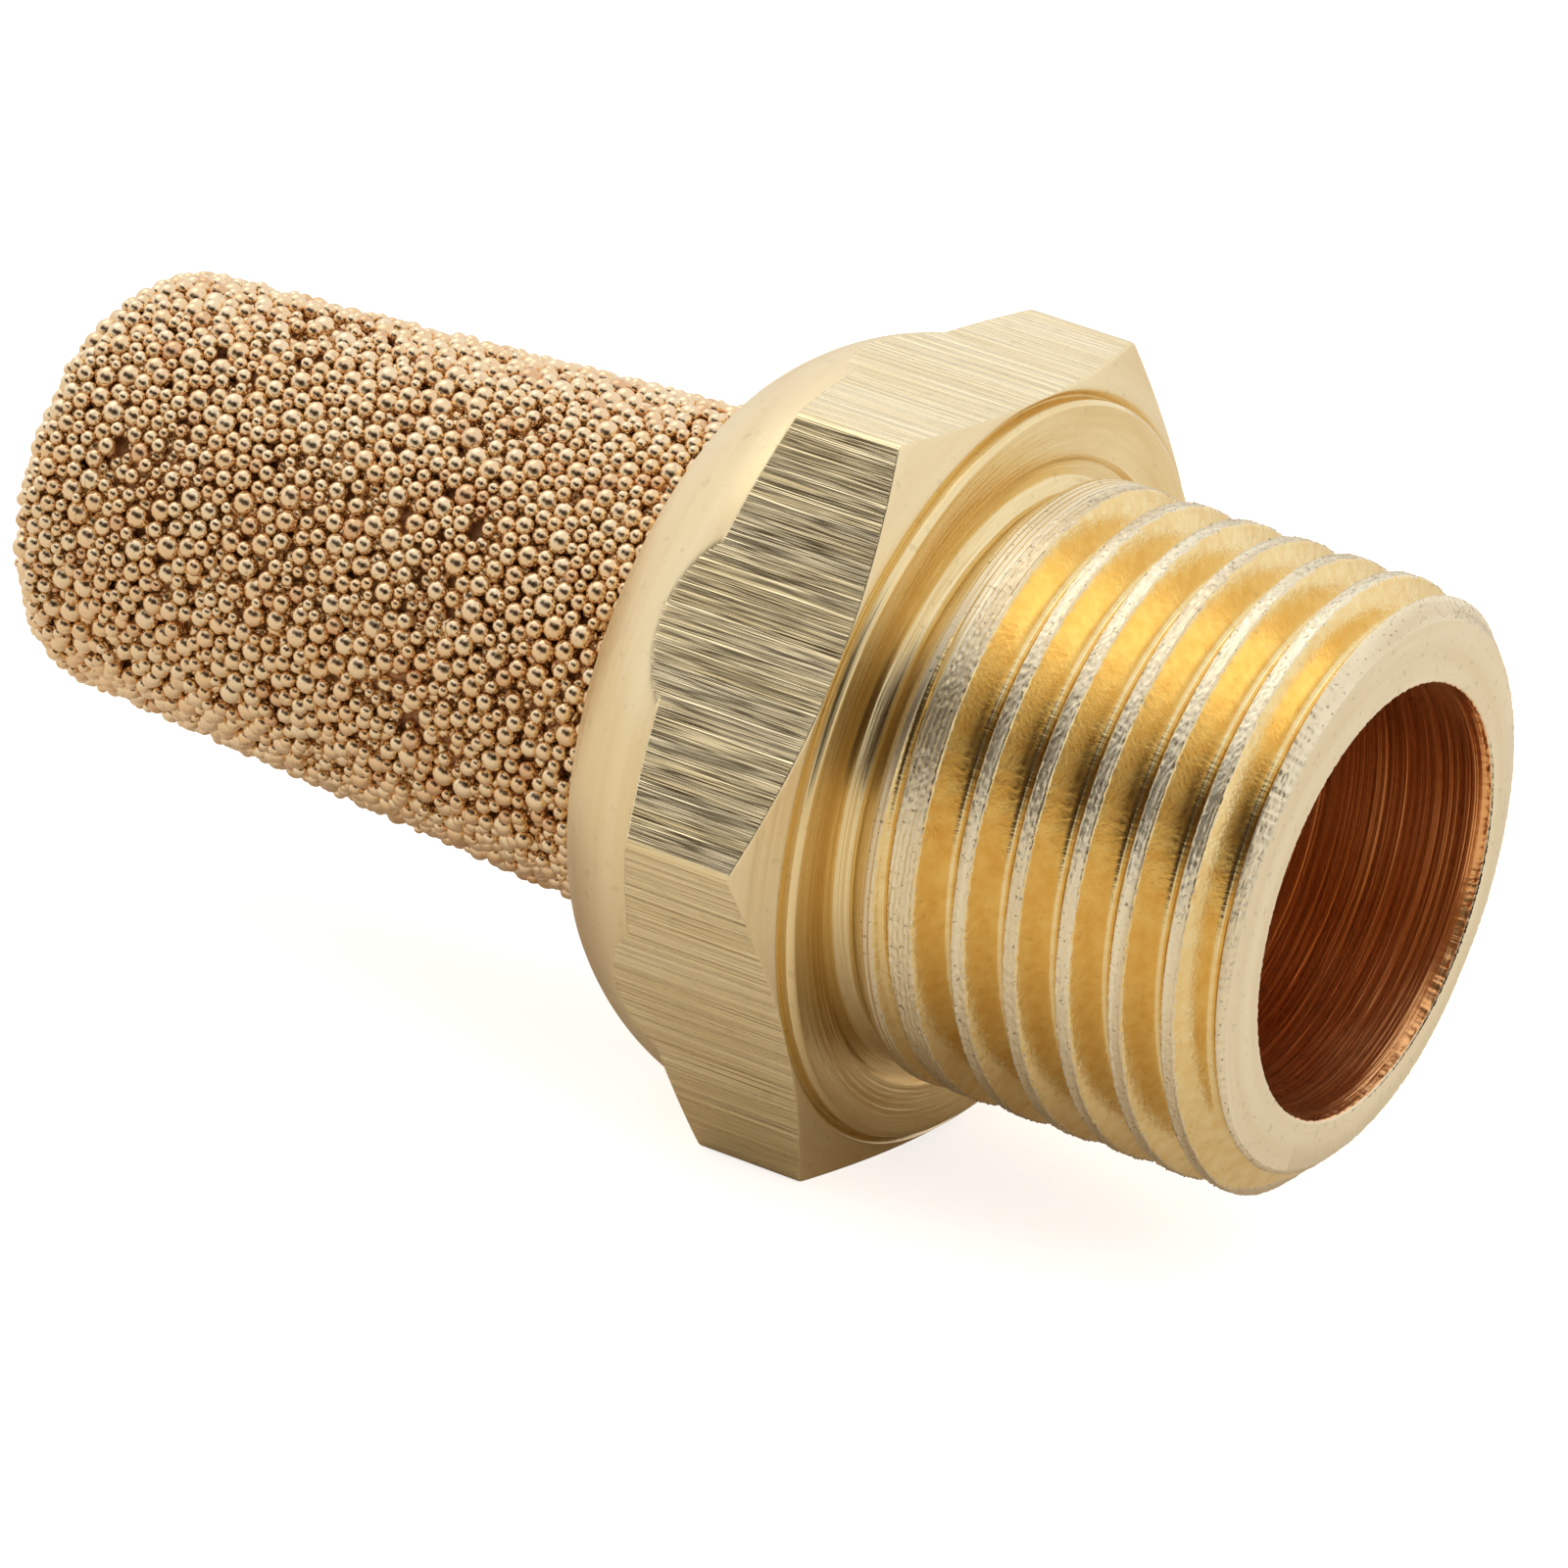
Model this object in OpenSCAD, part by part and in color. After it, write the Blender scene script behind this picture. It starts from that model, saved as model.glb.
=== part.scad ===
// Exhaust silencer with a G 1/8 parallel male thread: a turned hexagon body
// and a porous sintered bronze cup held in the body by a rolled lip.
// X runs along the axis, the thread points to +X, X = 0 is the seal face.

/* [Hexagon and seal face] */
// Distance across the flats of the hexagon
across_flats = 12; // [11:0.1:14.5]
// Length of the hexagon measured along its corners
corner_len = 1.78; // [1.3:0.01:3.6]
// Distance from the seal face back to the inner edge of the front chamfer
front_set = 0.18; // [0.08:0.01:0.24]
// Slope of the front chamfer, length along the axis for each unit of radius
front_slope = 0.44; // [0.25:0.01:0.6]
// Slope of the rear chamfer, length along the axis for each unit of radius
rear_slope = 0.47; // [0.25:0.01:0.6]
// Distance from the flats in to the rim of the raised seal face
seal_inset = 0.14; // [0.08:0.01:0.3]
// Height of the raised seal face above the groove around it
seal_h = 0.3; // [0.26:0.01:0.45]
// Width of the groove around the seal face
seal_groove_w = 0.14; // [0.08:0.01:0.2]
// Width of the shallow step in the seal face around the thread
step_w = 0.1; // [0.05:0.01:0.3]
// Depth of that step
step_h = 0.08; // [0.04:0.01:0.14]
// Width of the fine bevels on the turned edges
edge_bevel = 0.07; // [0.03:0.01:0.1]

/* [Rolled collar] */
// Metal between the pocket of the cup and the widest part of the collar
collar_wall = 1.315; // [0.8:0.005:1.8]
// Metal between the pocket and the outer edge of the rolled lip
lip_edge = 0.365; // [0.25:0.005:0.55]
// Distance from the seal face back to the widest part of the collar
collar_back = 2.1; // [1.7:0.01:2.6]
// Distance from the seal face back to the edge of the rolled lip
lip_back = 4.41; // [3.6:0.01:5.4]
// Thickness of the rolled lip behind the flange of the cup
lip_t = 0.4; // [0.3:0.01:0.55]

/* [Thread G 1/8] */
// Major diameter of the thread
thread_d = 9.62; // [9.52:0.01:9.73]
// Distance from one turn of the thread to the next
thread_pitch = 0.907; // [0.907]
// Depth of the thread groove
thread_depth = 0.527; // [0.5:0.001:0.581]
// Width of the flat crest left between two turns of the groove
crest_flat = 0.22; // [0.15:0.01:0.24]
// Length of the threaded end in front of the seal face
thread_len = 6.6; // [5:0.1:10]
// Chamfer at the open end of the thread
end_chamfer = 0.35; // [0.15:0.05:0.5]
// Angle at which the groove of the thread starts
thread_turn = 198; // [0:1:359]
// Distance from the seal face to the start of the groove
groove_start = 0.65; // [0.3:0.01:0.7]
// Part of a turn over which the groove reaches its full depth
fade_turn = 0.8; // [0.4:0.1:1]
// How far the neck lies below the crest of the thread
neck_cut = 0.32; // [0.3:0.01:0.55]
// Length of the neck
neck_len = 0.2; // [0.2:0.01:0.6]

/* [Air way] */
// Metal left between the bottom of the thread groove and the air way
thread_wall = 0.858; // [0.5:0.002:1.2]
// Distance from the seal face back to the shoulder that stops the cup
shoulder_back = 2.4; // [1.8:0.05:3]

/* [Porous cup] */
// Diameter of the cup where it comes out of the lip
cup_d = 8.36; // [7:0.02:10.1]
// Loss of radius of the cup for each unit of length, from the mould
cup_draft = 0.065; // [0:0.005:0.08]
// Length of the cup that stands out behind the lip
cup_len = 12; // [8:0.1:16]
// Radius of the round at the closed end of the cup
cup_round = 0.9; // [0.4:0.05:1.4]
// Wall thickness of the cup
cup_wall = 1.3; // [0.9:0.05:1.6]
// Thickness of the closed end of the cup
cup_floor = 1.5; // [1:0.1:2.4]
// Radius of the round inside the closed end
inner_round = 0.6; // [0.3:0.05:0.9]
// How far the flange stands out from the side of the cup
flange_w = 0.66; // [0.4:0.01:0.9]
// Gap around the flange and around the cup inside the lip
cup_gap = 0.05; // [0.02:0.01:0.1]

/* [Hidden] */
// The groove has flanks of 55 degrees and a narrow round bottom
flank_tan = tan(27.5);
thread_r = thread_d / 2;
root_r = thread_r - thread_depth;
bore_r = root_r - thread_wall;
neck_r = thread_r - neck_cut;
neck_fillet = 2.5 * edge_bevel;
step_r = thread_r + step_w;
groove_half = (thread_pitch - crest_flat) / 2;
root_half = groove_half - thread_depth * flank_tan;
groove_over = 0.1;
steps_turn = 40;
groove_steps = ceil((thread_len + 0.6 - groove_start) / thread_pitch * steps_turn);
// Radii of the hexagon's corners, the seal face and the groove around it
hex_r = across_flats / sqrt(3);
seal_r = across_flats / 2 - seal_inset;
groove_r = seal_r + seal_groove_w;
front_drop = front_set + (hex_r - groove_r) * front_slope;
corner_back = front_drop + corner_len;
// The pocket in the body, its lip and the cup that sits in it
flange_d = cup_d + 2 * flange_w;
pocket_r = flange_d / 2 + cup_gap;
lip_r = cup_d / 2 + cup_gap;
pocket_back = lip_back - lip_t;
cup_end = lip_back + cup_len;
cup_tilt = atan(cup_draft);
// The round of the collar passes its widest part and the edge of the lip
collar_r = pocket_r + collar_wall;
lip_edge_r = pocket_r + lip_edge;
collar_len = lip_back - collar_back;
collar_c = (collar_r ^ 2 - collar_len ^ 2 - lip_edge_r ^ 2) / (2 * (collar_r - lip_edge_r));
eps = 0.01;

// Everything is drawn round the Z axis first and laid along X here
module along_x() {
  rotate([0, 90, 0])
    children();
}

// The solid shape of the body before the flats, the holes and the thread.
// In the flat drawing the first number is the radius, the second the axis.
// The chamfers are drawn a little past the corners that the flats leave.
module body_outline() {
  over_r = hex_r + 0.4;
  under_r = collar_r - 0.2;
  // the collar, a true round between the lip and the hexagon
  intersection() {
    translate([collar_c, -collar_back])
      circle(r = collar_r - collar_c, $fn = 96);
    translate([0, -lip_back])
      square([collar_r + 1, collar_len]);
  }
  // the hexagon with its two chamfers
  polygon([
    [0, -corner_back - rear_slope],
    [under_r, -corner_back - (hex_r - under_r) * rear_slope],
    [over_r, -corner_back + (over_r - hex_r) * rear_slope],
    [over_r, -front_drop - (over_r - hex_r) * front_slope],
    [groove_r, -front_set],
    [seal_r, -seal_h],
    [0, -seal_h]
  ]);
  // the seal face with its narrow bevel and the step around the neck
  polygon([
    [0, -seal_h - eps],
    [seal_r, -seal_h - eps],
    [seal_r, -edge_bevel],
    [seal_r - edge_bevel, 0],
    [step_r + step_h, 0],
    [step_r, -step_h],
    [neck_r + neck_fillet, -step_h],
    [neck_r, neck_fillet - step_h],
    [neck_r, neck_len],
    [thread_r, neck_len + thread_r - neck_r],
    [thread_r, thread_len - end_chamfer],
    [thread_r - end_chamfer, thread_len],
    [0, thread_len]
  ]);
}

// One cut through the groove: radius and place along the axis of each point
function groove_cut(lift) = let (
    floor_r = root_r + lift,
    top_r = thread_r + groove_over,
    top_half = root_half + (top_r - floor_r) * flank_tan
  ) [
    [top_r, -top_half],
    [floor_r + 0.04, -root_half - 0.04 * flank_tan],
    [floor_r + 0.01, -root_half * 0.6],
    [floor_r, 0],
    [floor_r + 0.01, root_half * 0.6],
    [floor_r + 0.04, root_half + 0.04 * flank_tan],
    [top_r, top_half]
  ];

// How far the groove is lifted out of the metal at a given step
function groove_lift(i) =
  (thread_depth + 0.02) * max(0, 1 - i / (fade_turn * steps_turn));

// The helical groove of a right-hand thread, as one closed body
module thread_groove() {
  n = 7;
  points = [
    for (i = [0:groove_steps])
      for (p = groove_cut(groove_lift(i)))
        let (a = thread_turn + 360 * i / steps_turn)
          [p[0] * cos(a), p[0] * sin(a), groove_start + thread_pitch * i / steps_turn + p[1]]
  ];
  sides = [
    for (i = [0:groove_steps - 1])
      for (j = [0:n - 1])
        for (t = [0:1])
          let (a = n * i + j, b = n * i + (j + 1) % n)
            t == 0 ? [a, a + n, b] : [b, a + n, b + n]
  ];
  first = [[for (j = [0:n - 1]) j]];
  last = [[for (j = [n - 1:-1:0]) n * groove_steps + j]];
  polyhedron(points = points, faces = concat(sides, first, last), convexity = 10);
}

// The hollow of the body: the air way, the pocket for the flange, the lip
module body_hollow() {
  translate([0, 0, -shoulder_back - eps])
    cylinder(r = bore_r, h = shoulder_back + thread_len + 1, $fn = 96);
  translate([0, 0, -pocket_back])
    cylinder(r = pocket_r, h = pocket_back - shoulder_back, $fn = 96);
  translate([0, 0, -lip_back - 1])
    cylinder(r = lip_r, h = lip_t + 1 + eps, $fn = 96);
}

// The body, turned from hexagon bar in one piece with its thread and its lip
module fitting_body() {
  color([0.80, 0.66, 0.40])
    along_x()
      difference() {
        intersection() {
          rotate_extrude($fn = 96)
            body_outline();
          translate([0, 0, -lip_back - 1])
            rotate([0, 0, 30])
              cylinder(r = hex_r, h = lip_back + thread_len + 2, $fn = 6);
        }
        body_hollow();
        thread_groove();
      }
}

// A closed thimble with leaning sides and a round at its closed end.
// mouth_r is its radius at mouth_back, end_back the place of its closed end.
module thimble(mouth_r, mouth_back, end_back, round_r) {
  c_back = end_back - round_r;
  c_r = mouth_r - (c_back - mouth_back) * cup_draft - round_r / cos(cup_tilt);
  rotate_extrude($fn = 96)
    polygon([
      [0, -mouth_back],
      [mouth_r, -mouth_back],
      [c_r + round_r * cos(cup_tilt), -c_back - round_r * sin(cup_tilt)],
      [c_r, -c_back],
      [c_r, -end_back],
      [0, -end_back]
    ]);
  rotate_extrude($fn = 96)
    translate([c_r, -c_back])
      circle(r = round_r, $fn = 96);
}

// The porous cup with the flange that sits in the pocket of the body
module sintered_cup() {
  color([0.72, 0.55, 0.34])
    along_x()
      difference() {
        union() {
          thimble(cup_d / 2, lip_back, cup_end, cup_round);
          translate([0, 0, -lip_back - eps])
            cylinder(d = cup_d, h = lip_back + eps - shoulder_back, $fn = 96);
          translate([0, 0, -pocket_back])
            cylinder(d = flange_d, h = pocket_back - shoulder_back, $fn = 96);
        }
        thimble(cup_d / 2 - cup_wall, shoulder_back, cup_end - cup_floor, inner_round);
        translate([0, 0, -shoulder_back - eps])
          cylinder(r = cup_d / 2 - cup_wall, h = 1, $fn = 96);
      }
}

fitting_body();
sintered_cup();
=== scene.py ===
import bpy
import bmesh
import math
import numpy as np
from mathutils import Matrix, Vector


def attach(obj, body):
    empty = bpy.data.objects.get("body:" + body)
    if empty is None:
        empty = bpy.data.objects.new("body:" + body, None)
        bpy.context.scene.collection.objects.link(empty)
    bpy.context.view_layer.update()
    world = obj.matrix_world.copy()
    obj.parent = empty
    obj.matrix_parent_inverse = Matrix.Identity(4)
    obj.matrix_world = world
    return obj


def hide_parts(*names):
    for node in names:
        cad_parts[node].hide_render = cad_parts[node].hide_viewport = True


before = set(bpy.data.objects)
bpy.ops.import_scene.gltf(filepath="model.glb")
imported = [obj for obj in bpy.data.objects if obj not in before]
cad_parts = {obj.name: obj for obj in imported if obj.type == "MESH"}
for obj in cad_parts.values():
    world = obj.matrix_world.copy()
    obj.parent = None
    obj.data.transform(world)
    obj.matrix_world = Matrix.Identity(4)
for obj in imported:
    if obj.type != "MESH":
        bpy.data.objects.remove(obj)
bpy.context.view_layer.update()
mm = 0.001
margin = 0.02  # millimetres that one surface is kept clear of another
print("frame loaded")


# faces is an array of equal-sided faces, and verts are in millimetres
def linkMesh(name, verts, faces, smooth=True):
    sides = faces.shape[1]
    mesh = bpy.data.meshes.new(name)
    mesh.vertices.add(len(verts))
    mesh.vertices.foreach_set("co", (verts * mm).astype(np.float32).ravel())
    mesh.loops.add(len(faces) * sides)
    mesh.loops.foreach_set("vertex_index", faces.astype(np.int32).ravel())
    mesh.polygons.add(len(faces))
    mesh.polygons.foreach_set("loop_start", np.arange(0, len(faces) * sides, sides, dtype=np.int32))
    mesh.update(calc_edges=True)
    mesh.polygons.foreach_set("use_smooth", np.full(len(faces), smooth))
    piece = bpy.data.objects.new(name, mesh)
    bpy.context.scene.collection.objects.link(piece)
    return piece


# A closed outline turned round the X axis: one column per angle, one row per point
def turnedGrid(xs, rs, columns):
    angle = np.arange(columns) * 2 * np.pi / columns
    verts = np.stack([xs, rs * np.cos(angle)[None, :], rs * np.sin(angle)[None, :]], -1)
    rows = xs.shape[0]
    i, j = np.meshgrid(np.arange(rows), np.arange(columns), indexing="ij")
    k, m = (i + 1) % rows, (j + 1) % columns
    faces = np.stack([i * columns + j, i * columns + m, k * columns + m, k * columns + j], -1)
    return verts.reshape(-1, 3), faces.reshape(-1, 4)


def mergeCollapsed(piece):
    work = bmesh.new()
    work.from_mesh(piece.data)
    bmesh.ops.remove_doubles(work, verts=work.verts, dist=2e-7)
    if work.calc_volume(signed=True) < 0:
        bmesh.ops.reverse_faces(work, faces=work.faces)
    work.to_mesh(piece.data)
    work.free()
    piece.data.update()


def softMin(a, b, width):
    low, gap = np.minimum(a, b), np.abs(a - b)
    return low - width * np.log1p(np.exp(-gap / width))


# Smooth repeatable wobble round the circle, about zero and usually less than 1 either way
def wobble(angle, along, seed, strongest, terms=14):
    rng = np.random.default_rng(seed)
    total = np.zeros(np.broadcast(angle, along).shape)
    for _ in range(terms):
        turns = rng.integers(2, strongest)
        total += np.sin(turns * angle + rng.uniform(0, 6.28) + along * rng.uniform(-6, 6))
    return total / math.sqrt(terms)


# Millimetres. The axis is X, the seal face is at X = 0 and the thread points to +X.
body = {
    "acrossFlats": 12.0,
    "cornerLength": 1.78,
    "frontSet": 0.18,
    "frontSlope": 0.44,
    "rearSlope": 0.47,
    "sealRadius": 5.86,
    "sealHeight": 0.30,
    "grooveRadius": 6.0,
    "stepRadius": 4.91,
    "stepHeight": 0.08,
    "edgeBevel": 0.07,
    "neckRadius": 4.49,
    "neckLength": 0.2,
    "threadRadius": 4.81,
    "threadPitch": 0.907,
    "threadDepth": 0.527,
    "crestFlat": 0.22,
    "threadLength": 6.6,
    "endChamfer": 0.35,
    "threadTurn": 108.0,  # degrees from +Y where the groove starts
    "grooveStart": 0.65,
    "fadeTurn": 0.8,
    "boreRadius": 3.425,
    "shoulderBack": 2.4,
    "pocketRadius": 4.89,
    "pocketBack": 4.01,
    "lipRadius": 4.23,
    "lipBack": 4.41,
    "lipEdgeRadius": 5.255,
    "collarRadius": 6.205,
    "collarBack": 2.1,
    "rootRound": 0.05,
    "meetRange": (5.9, 6.2),  # radii between which the rear chamfer meets the collar
    # the flats cut what lies behind hexFront and outside hexInside
    "hexFront": -0.17,
    "hexInside": 5.3,
    "cornerSharp": 160,
    "cornerSoft": 0.012,
    # outer radius of the end face at each angle in degrees, and how fast it widens behind the face
    "endFaceEdge": ((0, 4.07), (50, 4.36), (90, 4.42), (150, 4.34), (215, 4.42), (270, 4.10), (330, 3.95)),
    "endLean": 1.0,
    "endWaves": 0.010,
    "endReach": 1.2,
    "endSoft": 0.008,
    "endPlain": 0.04,  # the last of the end has no grain
    "grooveSoft": 0.010,
    "burr": 0.020,
    "burrPlace": 0.014,
    "burrWidth": 0.018,
    # fine turned lines on the first stretch of the thread
    "linesEnd": 1.45,
    "linesDepth": 0.010,
    "linesStep": 0.088,
    "crestStart": 0.53,  # where the finish of the crests begins
    "crestBand": 0.03,  # metal this far below the top still counts as crest
    "crestRough": 0.006,  # height of the torn grain on the crests
    "roughStart": 0.9,
    "roughBand": 0.05,
    "ringedBack": -0.32,
    "ringedRadii": (4.0, 5.95),
    "mouthWaves": 0.010,
    "mouthReach": (0.08, 0.06),  # along the axis and outwards
    "tornSide": 335.0,  # degrees from +Y where the drill tore the mouth open
    "tornDepth": 0.07,
    "columns": 720,
}
zones = ["turned", "flat", "thread", "endFace", "bore", "crest", "chamfer", "ringed"]


# Points are (x, radius, corner round, row step to the next point, zone of the faces to the next point)
def bodyOutline(b):
    hexRadius = b["acrossFlats"] / math.sqrt(3)
    frontDrop = b["frontSet"] + (hexRadius - b["grooveRadius"]) * b["frontSlope"]
    cornerBack = frontDrop + b["cornerLength"]
    over = hexRadius + 0.12  # past the corners, so that the flats cut it
    run = b["lipBack"] - b["collarBack"]
    widest, edge = b["collarRadius"], b["lipEdgeRadius"]
    centre = (widest ** 2 - run ** 2 - edge ** 2) / (2 * (widest - edge))
    arc = widest - centre
    fillet = 2.5 * b["edgeBevel"]
    # where the rear chamfer meets the round of the collar
    meet = min(np.linspace(*b["meetRange"], 3001), key=lambda r: abs(
        -cornerBack - (hexRadius - r) * b["rearSlope"]
        - (-b["collarBack"] - math.sqrt(max(arc ** 2 - (r - centre) ** 2, 0)))))
    meetBack = cornerBack + (hexRadius - meet) * b["rearSlope"]
    end, chamfer = b["threadLength"], b["endChamfer"]
    threadStart = b["neckLength"] + b["threadRadius"] - b["neckRadius"]
    fineLength = 0.45
    points = [
        (-b["shoulderBack"], b["boreRadius"], 0.03, 0.12, "bore"),
        (end, b["boreRadius"], 0.05, 0.05, "endFace"),
        (end, b["threadRadius"] - chamfer, 0.02, 0.022, "thread"),
        (end - chamfer, b["threadRadius"], 0.03, 0.022, "thread"),
        (threadStart + fineLength, b["threadRadius"], 0, 0.013, "thread"),
        (threadStart, b["threadRadius"], 0.04, 0.04, "turned"),
        (b["neckLength"], b["neckRadius"], 0.05, 0.05, "turned"),
        (fillet - b["stepHeight"], b["neckRadius"], 0.05, 0.04, "turned"),
        (-b["stepHeight"], b["neckRadius"] + fillet, 0.05, 0.05, "turned"),
        (-b["stepHeight"], b["stepRadius"], 0.02, 0.04, "turned"),
        (0.0, b["stepRadius"] + b["stepHeight"], 0.02, 0.06, "turned"),
        (0.0, b["sealRadius"] - b["edgeBevel"], 0.03, 0.04, "turned"),
        (-b["edgeBevel"], b["sealRadius"], 0.03, 0.05, "turned"),
        (-b["sealHeight"], b["sealRadius"], 0.02, 0.04, "turned"),
        (-b["frontSet"], b["grooveRadius"], 0.03, 0.035, "turned"),
        (-frontDrop - (over - hexRadius) * b["frontSlope"], over, 0.0, 0.07, "turned"),
        (-cornerBack + (over - hexRadius) * b["rearSlope"], over, 0.0, 0.035, "turned"),
        (-meetBack, meet, 0.08, 0.05, "turned"),
    ]
    for back in np.linspace(meetBack, b["lipBack"], 26)[1:-1]:
        collar = centre + math.sqrt(arc ** 2 - (back - b["collarBack"]) ** 2)
        points.append((-back, collar, 0, 0.05, "turned"))
    points += [
        (-b["lipBack"], edge, 0.12, 0.06, "turned"),
        (-b["lipBack"], b["lipRadius"], 0.06, 0.1, "turned"),
        (-b["pocketBack"], b["lipRadius"], 0.03, 0.3, "turned"),
        (-b["pocketBack"], b["pocketRadius"], 0, 0.4, "turned"),
        (-b["shoulderBack"], b["pocketRadius"], 0, 0.4, "turned"),
    ]
    return points


# Rounds the corners and divides every line into rows
def outlineRows(points):
    rows, rowZones = [], []
    count = len(points)
    spot = [np.array(p[:2]) for p in points]
    cuts = []
    for i in range(count):
        a, b = spot[i - 1] - spot[i], spot[(i + 1) % count] - spot[i]
        la, lb = np.linalg.norm(a), np.linalg.norm(b)
        reach = min(points[i][2], 0.45 * la, 0.45 * lb)
        cuts.append((spot[i] + a / la * reach, spot[i] + b / lb * reach, reach))
    for i in range(count):
        enter, leave, reach = cuts[i]
        if reach > 0:
            for s in (0.0, 0.25, 0.5, 0.75):
                rows.append((1 - s) ** 2 * enter + 2 * s * (1 - s) * spot[i] + s ** 2 * leave)
                rowZones.append(points[i][4] if s >= 0.5 else points[i - 1][4])
        nextEnter = cuts[(i + 1) % count][0]
        steps = max(1, math.ceil(np.linalg.norm(nextEnter - leave) / points[i][3]))
        for s in range(steps):
            rows.append(leave + (nextEnter - leave) * s / steps)
            rowZones.append(points[i][4])
    return np.array(rows), rowZones


# Radius of the bottom and the flanks of the helical groove at each place, and the distance to its middle
def grooveRadius(x, angle, b):
    flank = math.tan(math.radians(27.5))
    rootRadius = b["threadRadius"] - b["threadDepth"]
    rootHalf = (b["threadPitch"] - b["crestFlat"]) / 2 - b["threadDepth"] * flank
    turn = ((angle - math.radians(b["threadTurn"])) % (2 * np.pi)) / (2 * np.pi)
    best = np.full(np.broadcast(x, angle).shape, 99.0)
    nearest = best.copy()
    for k in range(math.ceil(b["threadLength"] / b["threadPitch"]) + 1):
        centre = b["grooveStart"] + b["threadPitch"] * (turn + k)
        lift = (b["threadDepth"] + margin) * np.maximum(0, 1 - (turn + k) / b["fadeTurn"])
        away = np.abs(x - centre)
        rise = b["rootRound"] * np.logaddexp(0, (away - rootHalf) / flank / b["rootRound"])
        best = np.minimum(best, rootRadius + lift + rise)
        nearest = np.minimum(nearest, away + lift)
    return best, nearest


# The thin torn edge that the cutter leaves on both sides of each crest
def crestBurr(away, angle, x, b):
    edge = (b["threadPitch"] - b["crestFlat"]) / 2 + b["burrPlace"]
    torn = 0.55 + 0.35 * wobble(angle, x * 2, 21, 420, 20) + 0.25 * wobble(angle, x * 7, 22, 900, 16)
    return b["burr"] * np.clip(torn, 0, 1.6) * np.exp(-((away - edge) / b["burrWidth"]) ** 2)


def makeBody(b):
    rows, rowZones = outlineRows(bodyOutline(b))
    columns, end, threadRadius = b["columns"], b["threadLength"], b["threadRadius"]
    angle = (np.arange(columns) * 2 * np.pi / columns)[None, :]
    x = np.repeat(rows[:, :1], columns, 1)
    plain = np.repeat(rows[:, 1:2], columns, 1)

    # the six flats, with their meeting edges a little soft
    flatAngle = np.radians([30, 90, 150, 210, 270, 330])[:, None]
    reach = np.maximum(np.cos(angle - flatAngle), 0.01) / (b["acrossFlats"] / 2)
    flat = ((reach ** b["cornerSharp"]).sum(0) ** (-1 / b["cornerSharp"]))[None, :]
    outer = (x < b["hexFront"]) & (plain > b["hexInside"])
    cutByFlat = outer & (plain > flat + 0.01)
    r = np.where(outer, softMin(plain, flat, b["cornerSoft"]), plain)

    # the groove of the thread, the burrs beside it, and the fine turned lines on the first stretch
    threaded = (x > b["neckLength"]) & (plain > b["boreRadius"] + 0.3)
    groove, away = grooveRadius(x, angle, b)
    rootRadius = threadRadius - b["threadDepth"]
    r = np.where(threaded, np.maximum(softMin(plain, groove, b["grooveSoft"]), rootRadius - margin), r)
    ridge = threaded & (x < end - b["endChamfer"])
    r = np.where(ridge, r + crestBurr(away, angle, x, b), r)
    lined = threaded & (x < b["linesEnd"]) & (r > threadRadius - b["crestBand"])
    r = np.where(lined, r - b["linesDepth"] * (0.5 + 0.5 * np.sin(x * 2 * np.pi / b["linesStep"])), r)
    grain = np.random.default_rng(51).normal(0, b["crestRough"], x.shape)
    onCrest = threaded & (x > b["roughStart"]) & (r > threadRadius - b["roughBand"])
    r = np.where(onCrest, r + grain, r)

    # the end of the thread, broken back unevenly to the edge of the end face
    places, limits = zip(*b["endFaceEdge"])
    limit = np.interp(np.degrees(angle), places, limits, period=360)
    limit = limit + (end - x) * b["endLean"] + b["endWaves"] * wobble(angle, x * 4, 31, 240, 18)
    nearEnd = threaded & (x > end - b["endReach"])
    broken = nearEnd & (r > limit - margin)
    rough = np.where(x < end - b["endPlain"], grain, 0)
    r = np.where(nearEnd, softMin(r, limit + rough, b["endSoft"]), r)

    # the mouth of the air way, torn on one side
    along, outwards = b["mouthReach"]
    mouth = (np.abs(x - end) < along) & (plain < b["boreRadius"] + outwards)
    side = np.clip(np.cos(angle - math.radians(b["tornSide"])), 0, 1)
    tear = side * (b["tornDepth"] + 3 * np.abs(grain))
    r = np.where(mouth, r + b["mouthWaves"] * wobble(angle, x, 41, 300, 18) + tear, r)
    verts, faces = turnedGrid(x, r, columns)
    piece = linkMesh("fittingBody", verts, faces)

    low, high = b["ringedRadii"]
    marked = [
        ("flat", cutByFlat),
        ("crest", threaded & (x > b["crestStart"]) & (r > threadRadius - b["crestBand"])),
        ("chamfer", broken & (x < end - 0.001)),
        ("ringed", (x > b["ringedBack"]) & (x < b["crestStart"]) & (plain < high) & (plain > low)),
    ]
    zone = np.repeat(np.array([zones.index(z) for z in rowZones])[:, None], columns, 1)
    for name, where in marked:
        zone = np.where(where, zones.index(name), zone)
    piece.data.polygons.foreach_set("material_index", zone.astype(np.int32).ravel())
    mergeCollapsed(piece)
    print("fitting body", len(rows), "rows", len(piece.data.polygons), "faces")
    return piece


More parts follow.
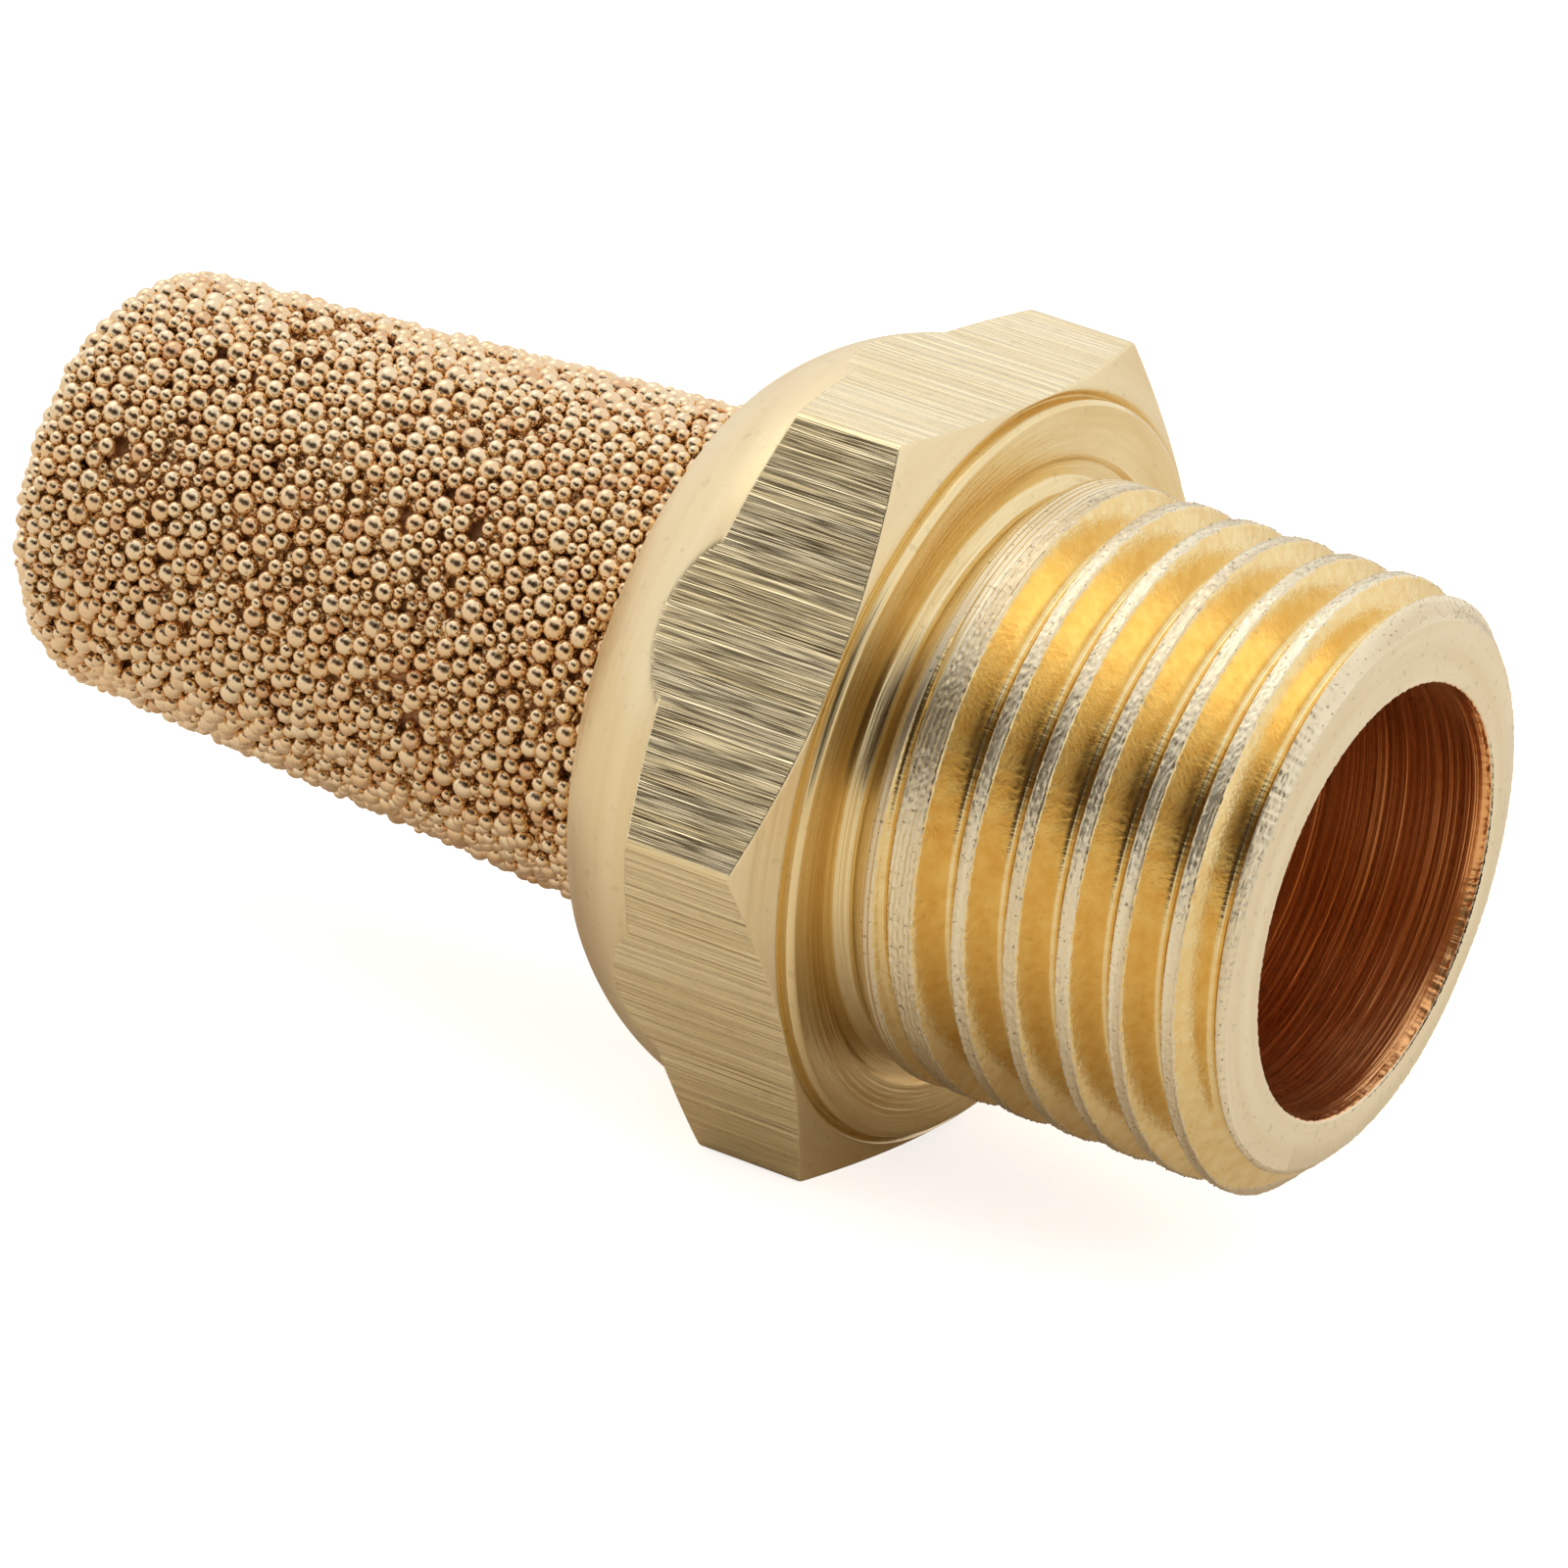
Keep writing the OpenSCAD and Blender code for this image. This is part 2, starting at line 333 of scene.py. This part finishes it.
cup = {
    "mouthRadius": 4.18,
    "lipBack": 4.41,
    "endBack": 16.41,
    "endRound": 0.9,
    "draft": 0.065,
    "wall": 1.3,
    "floor": 1.5,
    "innerRound": 0.6,
    "shoulderBack": 2.4,
    "pocketBack": 4.01,
    "flangeRadius": 4.84,
    "grainMiddle": 0.140,  # usual radius of a grain
    "grainSpread": 0.26,
    "grainLimits": (0.085, 0.21),
    "sinkSpread": 0.09,
    "touch": 0.97,  # grains this part of their two radii apart are left alone
    "lumps": 0.022,
    # the core under the grains, a dark body of painted shade: how deep under the outside it lies, how far
    # into the wall from the hollow, and its columns
    "shadeCoreDepth": 0.36,
    "shadeCoreInside": 0.12,
    "shadeCoreColumns": 96,
    "grainStart": 3.85,  # grains start this far back, inside the lip
}

# rounds is how often the grains push each other apart, level the fineness of each ball,
# most the number of grains in one mesh
grainLayers = [
    {"name": "outerGrains", "side": 1, "depth": 0.0, "cover": 0.84, "rounds": 40, "level": 3, "most": 600},
    {"name": "secondGrains", "side": 1, "depth": 0.17, "cover": 0.80, "rounds": 12, "level": 2, "most": 2400},
    {"name": "innerGrains", "side": -1, "depth": 0.0, "cover": 0.80, "rounds": 12, "level": 2, "most": 2400},
]


# Outline of a thimble as dense points with outward normals, from its mouth to the axis
def thimbleOutline(mouthRadius, mouthBack, endBack, roundRadius, draft, startBack):
    tilt = math.atan(draft)
    centreBack = endBack - roundRadius
    centreR = mouthRadius - (centreBack - mouthBack) * draft - roundRadius / math.cos(tilt)
    pts, nrm = [], []
    for s in np.linspace(0, 1, 12):
        pts.append((-startBack + (startBack - mouthBack) * s, mouthRadius))
        nrm.append((0, 1))
    tx, tr = -centreBack - roundRadius * math.sin(tilt), centreR + roundRadius * math.cos(tilt)
    for s in np.linspace(0, 1, 200)[1:]:
        pts.append((-mouthBack + (tx + mouthBack) * s, mouthRadius + (tr - mouthRadius) * s))
        nrm.append((-math.sin(tilt), math.cos(tilt)))
    for a in np.linspace(-tilt, -math.pi / 2, 40)[1:]:
        pts.append((-centreBack + roundRadius * math.sin(a), centreR + roundRadius * math.cos(a)))
        nrm.append((math.sin(a), math.cos(a)))
    for s in np.linspace(0, 1, 60)[1:]:
        pts.append((-endBack, centreR * (1 - s)))
        nrm.append((-1, 0))
    pts, nrm = np.array(pts), np.array(nrm, float)
    length = np.concatenate([[0], np.cumsum(np.linalg.norm(np.diff(pts, axis=0), axis=1))])
    return length, pts, nrm


# The outside of the cup from startBack on, and the hollow inside it
def cupOutlines(c, startBack):
    outer = thimbleOutline(c["mouthRadius"], c["lipBack"], c["endBack"], c["endRound"], c["draft"], startBack)
    inner = thimbleOutline(c["mouthRadius"] - c["wall"], c["shoulderBack"], c["endBack"] - c["floor"],
                           c["innerRound"], c["draft"], c["shoulderBack"])
    return outer, inner


# Spreads grains over an outline and pushes them apart until they only just touch
def packGrains(outline, layer, seed, c):
    length, pts, nrm = outline
    side, cover = layer["side"], layer["cover"]
    rounds = layer["rounds"]
    nearReach = 2 * c["grainLimits"][1] + 0.06
    blockSize, leastRadius = 400, 0.12
    rng = np.random.default_rng(seed)
    area = np.concatenate([[0], np.cumsum(np.diff(length) * np.pi * (pts[1:, 1] + pts[:-1, 1]))])
    radius = []
    filled = 0.0
    while filled < cover * area[-1]:
        one = float(np.clip(c["grainMiddle"] * math.exp(rng.normal(0, c["grainSpread"])), *c["grainLimits"]))
        radius.append(one)
        filled += math.pi * one * one
    radius = np.array(radius)
    s = np.interp(rng.uniform(0, area[-1], len(radius)), area, length)
    angle = rng.uniform(0, 2 * np.pi, len(radius))
    sink = layer["depth"] + radius + rng.uniform(0, c["sinkSpread"], len(radius))

    def place():
        x, r = np.interp(s, length, pts[:, 0]), np.interp(s, length, pts[:, 1])
        nx, nr = np.interp(s, length, nrm[:, 0]), np.interp(s, length, nrm[:, 1])
        px, pr = x - side * nx * sink, r - side * nr * sink
        return np.stack([px, pr * np.cos(angle), pr * np.sin(angle)], 1), nx, nr, pr

    for _ in range(rounds):
        spot, nx, nr, pr = place()
        push = np.zeros_like(spot)
        order = np.argsort(spot[:, 0])
        sx = spot[order, 0]
        for block in range(0, len(order), blockSize):
            mine = order[block:block + blockSize]
            first = np.searchsorted(sx, sx[block] - nearReach)
            last = np.searchsorted(sx, sx[block + len(mine) - 1] + nearReach)
            near = order[first:last]
            gap = spot[mine][:, None, :] - spot[near][None, :, :]
            far = np.sqrt((gap ** 2).sum(-1)) + 1e-9
            want = (radius[mine][:, None] + radius[near][None, :]) * c["touch"]
            move = np.where((far < want) & (far > 1e-6), (want - far) / far * 0.5, 0)
            push[mine] += (gap * move[..., None]).sum(1)
        radial = push[:, 1] * np.cos(angle) + push[:, 2] * np.sin(angle)
        tangent = -push[:, 1] * np.sin(angle) + push[:, 2] * np.cos(angle)
        s = np.clip(s + (push[:, 0] * -nr + radial * nx), 0, length[-1])
        angle = angle + tangent / np.maximum(pr, leastRadius)
    return place()[0], radius


# One mesh of many grains, each a slightly lumpy ball with its own tone
def grainMesh(name, spots, radius, level, seed, lumps):
    work = bmesh.new()
    bmesh.ops.create_icosphere(work, subdivisions=level, radius=1.0)
    ball = np.array([v.co[:] for v in work.verts])
    tris = np.array([[v.index for v in f.verts] for f in work.faces])
    work.free()
    rng = np.random.default_rng(seed)
    n, m = len(spots), len(ball)
    shape = np.ones((n, m))
    for power in (2, 3):
        way = rng.normal(size=(n, 3))
        way /= np.linalg.norm(way, axis=1)[:, None]
        shape += rng.normal(0, lumps, (n, 1)) * (way @ ball.T) ** power
    verts = spots[:, None, :] + ball[None] * (radius[:, None] * shape)[..., None]
    faces = tris[None] + (np.arange(n) * m)[:, None, None]
    piece = linkMesh(name, verts.reshape(-1, 3), faces.reshape(-1, 3))
    tone = piece.data.attributes.new("tone", "FLOAT", "POINT")
    tone.data.foreach_set("value", np.repeat(rng.uniform(0, 1, n), m).astype(np.float32))
    return piece


# The closed brown body under the grains that shows in the gaps between them: painted shade, a dark sheet
# standing in for the deeper grains in shadow
def makeShadeCore(c):
    (_, outer, outerWay), (_, inner, innerWay) = cupOutlines(c, c["pocketBack"])
    # every fourth point is enough, and the first 12 of the inner outline lie in one place
    outer = (outer - outerWay * c["shadeCoreDepth"])[::4]
    inner = (inner + innerWay * c["shadeCoreInside"])[13::4]
    outer[-1, 1] = inner[-1, 1] = 0.002
    flange = np.array([(-c["shoulderBack"], inner[0, 1]), (-c["shoulderBack"], c["flangeRadius"]),
                       (-c["pocketBack"], c["flangeRadius"])])
    line = np.concatenate([flange, outer, inner[::-1]])
    columns = c["shadeCoreColumns"]
    verts, faces = turnedGrid(np.repeat(line[:, :1], columns, 1), np.repeat(line[:, 1:], columns, 1), columns)
    piece = linkMesh("cupShadeCore", verts, faces)
    mergeCollapsed(piece)
    return piece


def makeCup(c):
    pieces = []
    outer, inner = cupOutlines(c, c["grainStart"])
    for number, layer in enumerate(grainLayers):
        spots, radius = packGrains(outer if layer["side"] > 0 else inner, layer, 11 + number, c)
        order = np.argsort(spots[:, 0])
        for part, first in enumerate(range(0, len(order), layer["most"])):
            chosen = order[first:first + layer["most"]]
            name, seed = layer["name"] + str(part + 1), 100 * number + part
            pieces.append(grainMesh(name, spots[chosen], radius[chosen], layer["level"], seed, c["lumps"]))
        print(layer["name"], len(spots), "grains")
    pieces.append(makeShadeCore(c))
    return pieces


def newGroup(name, inputs, outputs):
    group = bpy.data.node_groups.new(name, "ShaderNodeTree")
    for label, value in inputs:
        group.interface.new_socket(label, in_out="INPUT", socket_type="NodeSocketFloat").default_value = value
    for label in outputs:
        group.interface.new_socket(label, in_out="OUTPUT", socket_type="NodeSocketFloat")
    return group, group.nodes.new("NodeGroupInput"), group.nodes.new("NodeGroupOutput")


# A socket takes a number, a colour or the output of another node
def feed(tree, socket, value):
    if isinstance(value, (int, float)):
        socket.default_value = value
    elif isinstance(value, tuple):
        socket.default_value = (*value, 1.0)
    else:
        tree.links.new(value, socket)


def mathNode(tree, kind, a, b=None, clamp=False):
    node = tree.nodes.new("ShaderNodeMath")
    node.operation, node.use_clamp = kind, clamp
    feed(tree, node.inputs[0], a)
    if b is not None:
        feed(tree, node.inputs[1], b)
    return node.outputs[0]


def times(tree, a, b):
    return mathNode(tree, "MULTIPLY", a, b)


def noiseNode(tree, vector, scale, detail=2.0, roughness=0.5):
    node = tree.nodes.new("ShaderNodeTexNoise")
    node.inputs["Scale"].default_value = scale
    node.inputs["Detail"].default_value = detail
    node.inputs["Roughness"].default_value = roughness
    tree.links.new(vector, node.inputs["Vector"])
    return node.outputs[0]


# The place on the piece in millimetres
def placeNode(tree):
    coord = tree.nodes.new("ShaderNodeTexCoord")
    scale = tree.nodes.new("ShaderNodeVectorMath")
    scale.operation = "SCALE"
    scale.inputs["Scale"].default_value = 1 / mm
    tree.links.new(coord.outputs["Object"], scale.inputs[0])
    return scale.outputs[0]


# The same place as x, y and z
def placeAxes(tree):
    split = tree.nodes.new("ShaderNodeSeparateXYZ")
    tree.links.new(placeNode(tree), split.inputs[0])
    return split.outputs


def combine(tree, x, y, z):
    node = tree.nodes.new("ShaderNodeCombineXYZ")
    for socket, value in zip(node.inputs, (x, y, z)):
        feed(tree, socket, value)
    return node.outputs[0]


# Fine rings that a turning tool leaves, on faces and on round sides alike
def buildTurningRings():
    group, enter, leave = newGroup("turningRings", [("Fineness", 9.0)], ["Height", "Tint"])
    axes = placeAxes(group)
    squares = [mathNode(group, "POWER", axis, 2.0) for axis in (axes[1], axes[2])]
    radius = mathNode(group, "SQRT", mathNode(group, "ADD", *squares))
    x = times(group, axes[0], enter.outputs["Fineness"])
    r = times(group, radius, enter.outputs["Fineness"])
    slow = times(group, axes[1], 0.3)
    rings = noiseNode(group, combine(group, x, r, slow), 1.0, 3.0, 0.6)
    wide = noiseNode(group, combine(group, times(group, x, 0.22), times(group, r, 0.22), slow), 1.0, 2.0)
    group.links.new(rings, leave.inputs["Height"])
    group.links.new(wide, leave.inputs["Tint"])
    return group


# Long lines that run with the axis, as on drawn hexagon bar
def buildDrawnStreaks():
    group, enter, leave = newGroup("drawnStreaks", [("Fineness", 7.0)], ["Height", "Tint"])
    axes = placeAxes(group)
    y = times(group, axes[1], enter.outputs["Fineness"])
    z = times(group, axes[2], enter.outputs["Fineness"])
    fine = noiseNode(group, combine(group, times(group, axes[0], 0.14), y, z), 1.0, 3.0, 0.6)
    wide = noiseNode(group, combine(group, times(group, axes[0], 0.25), times(group, y, 0.35),
                                    times(group, z, 0.35)), 1.0, 2.0)
    group.links.new(fine, leave.inputs["Height"])
    group.links.new(wide, leave.inputs["Tint"])
    return group


# Small dark specks, and soft clouds of wear, from handling
def buildHandlingMarks():
    group, enter, leave = newGroup("handlingMarks", [("Density", 5.0), ("Amount", 0.5)], ["Specks", "Clouds"])
    place = placeNode(group)
    spots = group.nodes.new("ShaderNodeTexNoise")
    group.links.new(enter.outputs["Density"], spots.inputs["Scale"])
    spots.inputs["Detail"].default_value = 3.0
    group.links.new(place, spots.inputs["Vector"])
    sharp = mathNode(group, "MULTIPLY", mathNode(group, "SUBTRACT", spots.outputs[0], 0.62), 12.0, True)
    group.links.new(times(group, sharp, enter.outputs["Amount"]), leave.inputs["Specks"])
    group.links.new(noiseNode(group, place, 0.45, 3.0), leave.inputs["Clouds"])
    return group


effects = {"rings": buildTurningRings(), "streaks": buildDrawnStreaks(), "marks": buildHandlingMarks()}


def placeGroup(tree, name, **values):
    node = tree.nodes.new("ShaderNodeGroup")
    node.node_tree = effects[name]
    for label, value in values.items():
        node.inputs[label].default_value = value
    return node


def mixColour(tree, factor, a, b):
    node = tree.nodes.new("ShaderNodeMix")
    node.data_type = "RGBA"
    tree.links.new(factor, node.inputs[0])
    colours = [s for s in node.inputs if s.type == "RGBA"]
    for socket, value in zip(colours, (a, b)):
        feed(tree, socket, value)
    return [s for s in node.outputs if s.type == "RGBA"][0]


def mapRange(tree, value, low, high, toLow=0.0, toHigh=1.0):
    node = tree.nodes.new("ShaderNodeMapRange")
    node.inputs["From Min"].default_value = low
    node.inputs["From Max"].default_value = high
    node.inputs["To Min"].default_value = toLow
    node.inputs["To Max"].default_value = toHigh
    tree.links.new(value, node.inputs["Value"])
    return node.outputs[0]


def startMaterial(name, metallic):
    material = bpy.data.materials.new(name)
    material.use_nodes = True
    tree = material.node_tree
    surface = tree.nodes["Principled BSDF"]
    surface.inputs["Metallic"].default_value = metallic
    return material, tree, surface


def addBump(tree, surface, height, distance):
    bump = tree.nodes.new("ShaderNodeBump")
    bump.inputs["Strength"].default_value = 1.0
    bump.inputs["Distance"].default_value = distance
    tree.links.new(height, bump.inputs["Height"])
    tree.links.new(bump.outputs[0], surface.inputs["Normal"])


# Brass in its finishes. rough is the range of roughness, relief the depth of its lines in metres.
brass = {
    "turned": {"effect": "rings", "fineness": 9.0, "light": (0.88, 0.73, 0.46), "deep": (0.82, 0.65, 0.38),
               "rough": (0.26, 0.36), "relief": 6e-6, "specks": 0.18, "density": 4.0},
    "ringed": {"effect": "rings", "fineness": 15.0, "light": (0.90, 0.74, 0.43), "deep": (0.80, 0.61, 0.31),
               "rough": (0.16, 0.26), "relief": 16e-6, "specks": 0.2, "density": 6.0},
    "flat": {"effect": "streaks", "fineness": 8.0, "light": (0.90, 0.76, 0.49), "deep": (0.82, 0.67, 0.39),
             "rough": (0.20, 0.34), "relief": 62e-6, "specks": 0.15, "density": 3.0},
    "thread": {"effect": "streaks", "fineness": 14.0, "light": (0.91, 0.72, 0.37), "deep": (0.86, 0.62, 0.27),
               "rough": (0.14, 0.24), "relief": 7e-6, "specks": 0.2, "density": 8.0},
    "crest": {"effect": "rings", "fineness": 18.0, "light": (0.92, 0.82, 0.60), "deep": (0.78, 0.64, 0.42),
              "rough": (0.24, 0.40), "relief": 14e-6, "specks": 0.9, "density": 14.0},
    "chamfer": {"effect": "rings", "fineness": 10.0, "light": (0.90, 0.79, 0.57), "deep": (0.74, 0.60, 0.40),
                "rough": (0.30, 0.46), "relief": 16e-6, "specks": 0.9, "density": 14.0},
    "endFace": {"effect": "rings", "fineness": 14.0, "light": (0.90, 0.80, 0.61), "deep": (0.84, 0.73, 0.52),
                "rough": (0.46, 0.58), "relief": 6e-6, "specks": 0.25, "density": 7.0},
    "bore": {"effect": "rings", "fineness": 8.0, "light": (0.98, 0.59, 0.28), "deep": (0.93, 0.47, 0.19),
             "rough": (0.26, 0.40), "relief": 32e-6, "specks": 0.2, "density": 3.0},
}
speckShade = 0.4  # tone of a speck, as a part of the deep tone


def makeBrass(name, f):
    material, tree, surface = startMaterial(name + "Brass", 1.0)
    lines = placeGroup(tree, f["effect"], Fineness=f["fineness"])
    marks = placeGroup(tree, "marks", Density=f["density"], Amount=f["specks"])
    tint = mapRange(tree, lines.outputs["Tint"], 0.35, 0.65)
    colour = mixColour(tree, tint, f["deep"], f["light"])
    dark = tuple(v * speckShade for v in f["deep"])
    tree.links.new(mixColour(tree, marks.outputs["Specks"], colour, dark), surface.inputs["Base Color"])
    height = lines.outputs["Height"]
    blend = mathNode(tree, "ADD", times(tree, height, 0.5), times(tree, marks.outputs["Clouds"], 0.5))
    tree.links.new(mapRange(tree, blend, 0.35, 0.65, *f["rough"]), surface.inputs["Roughness"])
    addBump(tree, surface, height, f["relief"])
    return material


bronze = {
    "pale": (0.90, 0.70, 0.46),
    "warm": (0.86, 0.60, 0.35),
    "red": (0.72, 0.42, 0.22),
    "speck": (0.40, 0.26, 0.14),
    "rough": (0.14, 0.30),
    "relief": 5e-6,
}


def makeBronze(b):
    material, tree, surface = startMaterial("sinteredBronze", 1.0)
    tone = tree.nodes.new("ShaderNodeAttribute")
    tone.attribute_name = "tone"
    value = tone.outputs["Fac"]
    colour = mixColour(tree, mapRange(tree, value, 0.1, 0.8), b["warm"], b["pale"])
    reddish = mapRange(tree, value, 0.90, 0.96, 0.0, 0.8)
    colour = mixColour(tree, reddish, colour, b["red"])
    marks = placeGroup(tree, "marks", Density=9.0, Amount=0.5)
    tree.links.new(mixColour(tree, marks.outputs["Specks"], colour, b["speck"]), surface.inputs["Base Color"])
    skin = noiseNode(tree, placeNode(tree), 14.0, 3.0, 0.6)
    tree.links.new(mapRange(tree, skin, 0.3, 0.7, *b["rough"]), surface.inputs["Roughness"])
    addBump(tree, surface, skin, b["relief"])
    return material


# the core's browns, darker than the grains' tones as painted shade for the deep gaps between the grains
shadeCore = {
    "deep": (0.34, 0.15, 0.06),
    "light": (0.62, 0.33, 0.15),
    "metallic": 0.7,
    "rough": 0.6,
    "relief": 40e-6,
}


# The core's material: a mottled bronze brown, darker than the grains as painted shade in the gaps
def makeShadeCoreBrown(c):
    material, tree, surface = startMaterial("cupShadowBronze", c["metallic"])
    surface.inputs["Roughness"].default_value = c["rough"]
    grain = noiseNode(tree, placeNode(tree), 5.0, 4.0, 0.6)
    colour = mixColour(tree, mapRange(tree, grain, 0.35, 0.65), c["deep"], c["light"])
    tree.links.new(colour, surface.inputs["Base Color"])
    addBump(tree, surface, grain, c["relief"])
    return material


bodyPiece = makeBody(body)
for zone in zones:
    bodyPiece.data.materials.append(makeBrass(zone, brass[zone]))
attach(bodyPiece, "root")
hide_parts("fitting_body")

grainBronze, shadeCoreBrown = makeBronze(bronze), makeShadeCoreBrown(shadeCore)
cupPieces = makeCup(cup)
for piece in cupPieces:
    # the core gets the darker brown of painted shade, the grains the bronze
    piece.data.materials.append(shadeCoreBrown if piece.name == "cupShadeCore" else grainBronze)
    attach(piece, "root")
    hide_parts("sintered_cup")
print("pieces made")

studio = {
    "floorSize": 3.0,
    "floorHeight": -0.0060,
    "floorColour": (0.97, 0.90, 0.78),
    "floorGlow": 0.75,  # whitens what the camera sees of the floor, so that the shadow stays faint
    "skyStrength": 1.0,
    # direction of each dark patch and its half width in degrees
    "darkWays": [((0.449, -0.814, 0.370), 32.0), ((-0.45, -0.73, 0.52), 19.0), ((0.0, -0.87, 0.49), 20.0)],
    "darkSoft": 9.0,
    "darkColour": (0.040, 0.024, 0.011),
    "keyPlace": (-0.10, 0.03, 0.16),
    "keySize": 0.12,
    "keyPower": 0.035,
}


def makeFloor(s):
    half = s["floorSize"] / 2 / mm
    z = s["floorHeight"] / mm
    verts = np.array([(-half, -half, z), (half, -half, z), (half, half, z), (-half, half, z)], float)
    floor = linkMesh("studioFloor", verts, np.array([[0, 1, 2, 3]]), False)
    material, tree, surface = startMaterial("paleFloor", 0.0)
    surface.inputs["Roughness"].default_value = 0.9
    cloud = noiseNode(tree, placeNode(tree), 0.02, 2.0)
    low = tuple(v * 0.99 for v in s["floorColour"])
    tree.links.new(mixColour(tree, cloud, low, s["floorColour"]), surface.inputs["Base Color"])
    surface.inputs["Specular IOR Level"].default_value = 0.1
    surface.inputs["Emission Color"].default_value = (1.0, 1.0, 1.0, 1.0)
    path = tree.nodes.new("ShaderNodeLightPath")
    glow = times(tree, path.outputs["Is Camera Ray"], s["floorGlow"])
    tree.links.new(glow, surface.inputs["Emission Strength"])
    floor.data.materials.append(material)


# A bright even surround with dark patches, which the near flats and the thread mirror
def makeSurround(s):
    world = bpy.data.worlds.new("softSurround")
    bpy.context.scene.world = world
    world.use_nodes = True
    tree = world.node_tree
    back = tree.nodes["Background"]
    coord = tree.nodes.new("ShaderNodeTexCoord")
    dark = None
    for way, reach in s["darkWays"]:
        dot = tree.nodes.new("ShaderNodeVectorMath")
        dot.operation = "DOT_PRODUCT"
        tree.links.new(coord.outputs["Generated"], dot.inputs[0])
        dot.inputs[1].default_value = Vector(way).normalized()
        edges = [math.cos(math.radians(reach + soft)) for soft in (s["darkSoft"], -s["darkSoft"])]
        near = mapRange(tree, dot.outputs["Value"], *edges)
        dark = near if dark is None else mathNode(tree, "MAXIMUM", dark, near)
    tree.links.new(mixColour(tree, dark, (1.0, 1.0, 1.0), s["darkColour"]), back.inputs["Color"])
    back.inputs["Strength"].default_value = s["skyStrength"]


# A soft lamp aimed at the part
def makeLamp(name, place, size, power):
    light = bpy.data.lights.new(name, "AREA")
    light.size, light.energy = size, power
    lamp = bpy.data.objects.new(name, light)
    lamp.location = place
    lamp.rotation_euler = (-Vector(place)).to_track_quat("-Z", "Y").to_euler()
    bpy.context.scene.collection.objects.link(lamp)


# Degrees, metres, and the lens in millimetres
view = {
    "azimuth": 28.951,
    "elevation": 21.759,
    "roll": 7.735,
    "distance": 0.175793,
    "across": -0.0032698,
    "above": -0.0001869,
    "lens": 265.795,
}


def makeCamera(v):
    azimuth, elevation, roll = (math.radians(v[k]) for k in ("azimuth", "elevation", "roll"))
    flat = math.cos(elevation)
    forward = -Vector((math.sin(azimuth) * flat, -math.cos(azimuth) * flat, math.sin(elevation)))
    level = forward.cross(Vector((0, 0, 1))).normalized()
    upright = level.cross(forward)
    right = math.cos(roll) * level + math.sin(roll) * upright
    up = -math.sin(roll) * level + math.cos(roll) * upright
    place = -forward * v["distance"] + right * v["across"] + up * v["above"]
    data = bpy.data.cameras.new("workCamera")
    data.lens, data.sensor_width = v["lens"], 36.0
    data.clip_start, data.clip_end = 0.01, 10.0
    camera = bpy.data.objects.new("workCamera", data)
    turn = Matrix((right, up, -forward)).transposed().to_4x4()
    camera.matrix_world = Matrix.Translation(place) @ turn
    bpy.context.scene.collection.objects.link(camera)
    bpy.context.scene.camera = camera


makeFloor(studio)
makeSurround(studio)
makeLamp("softKey", studio["keyPlace"], studio["keySize"], studio["keyPower"])
makeCamera(view)
bpy.context.scene.view_settings.view_transform = "Standard"
print("studio made")
